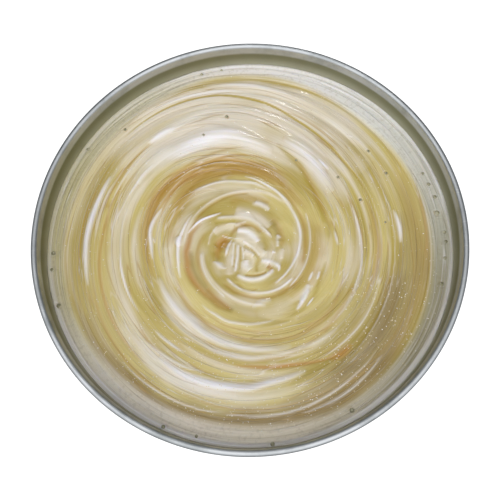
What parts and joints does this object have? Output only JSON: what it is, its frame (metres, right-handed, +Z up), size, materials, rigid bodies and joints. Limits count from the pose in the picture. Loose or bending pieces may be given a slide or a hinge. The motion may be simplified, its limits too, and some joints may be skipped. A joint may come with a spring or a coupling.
{
  "type": "shoe polish tin",
  "caption": "Round drawn-metal tin of wax polish with a rolled rim, standing open in its own upturned slip lid, with a butterfly opener key on the wall.",
  "frame": {"origin": "middle of the flat crown of the upturned lid, on the surface it stands on", "axes": "+Z up along the axis of the tin, +Y towards the butterfly key on the back of the wall, +X to the right"},
  "size_m": [0.0866, 0.0942, 0.0233],
  "materials": {
    "tinplate": "bright satin tinplate with fine draw marks",
    "wax": "glossy pearlescent wax, cream with honey and amber swirls",
    "key_steel": "plated spring steel, lightly worn",
    "seal": "matt flowed-in sealing ring"
  },
  "bodies": {
    "lid": {"lid_shell": "tinplate", "lid_seal": "seal"},
    "tin": {"tin_body": "tinplate", "polish": "wax", "opener_rivet": "key_steel"},
    "opener": {"opener_key": "key_steel"}
  },
  "joints": [
    {"name": "tin_lift", "type": "slide", "parent": "lid", "child": "tin", "axis": [0, 0, 1], "range_m": [0, 0.03]},
    {"name": "opener_turn", "type": "hinge", "parent": "tin", "child": "opener", "pos_m": [0, 0.0433, 0.0114], "axis": [0, 1, 0], "range_deg": [0, 90]}
  ]
}
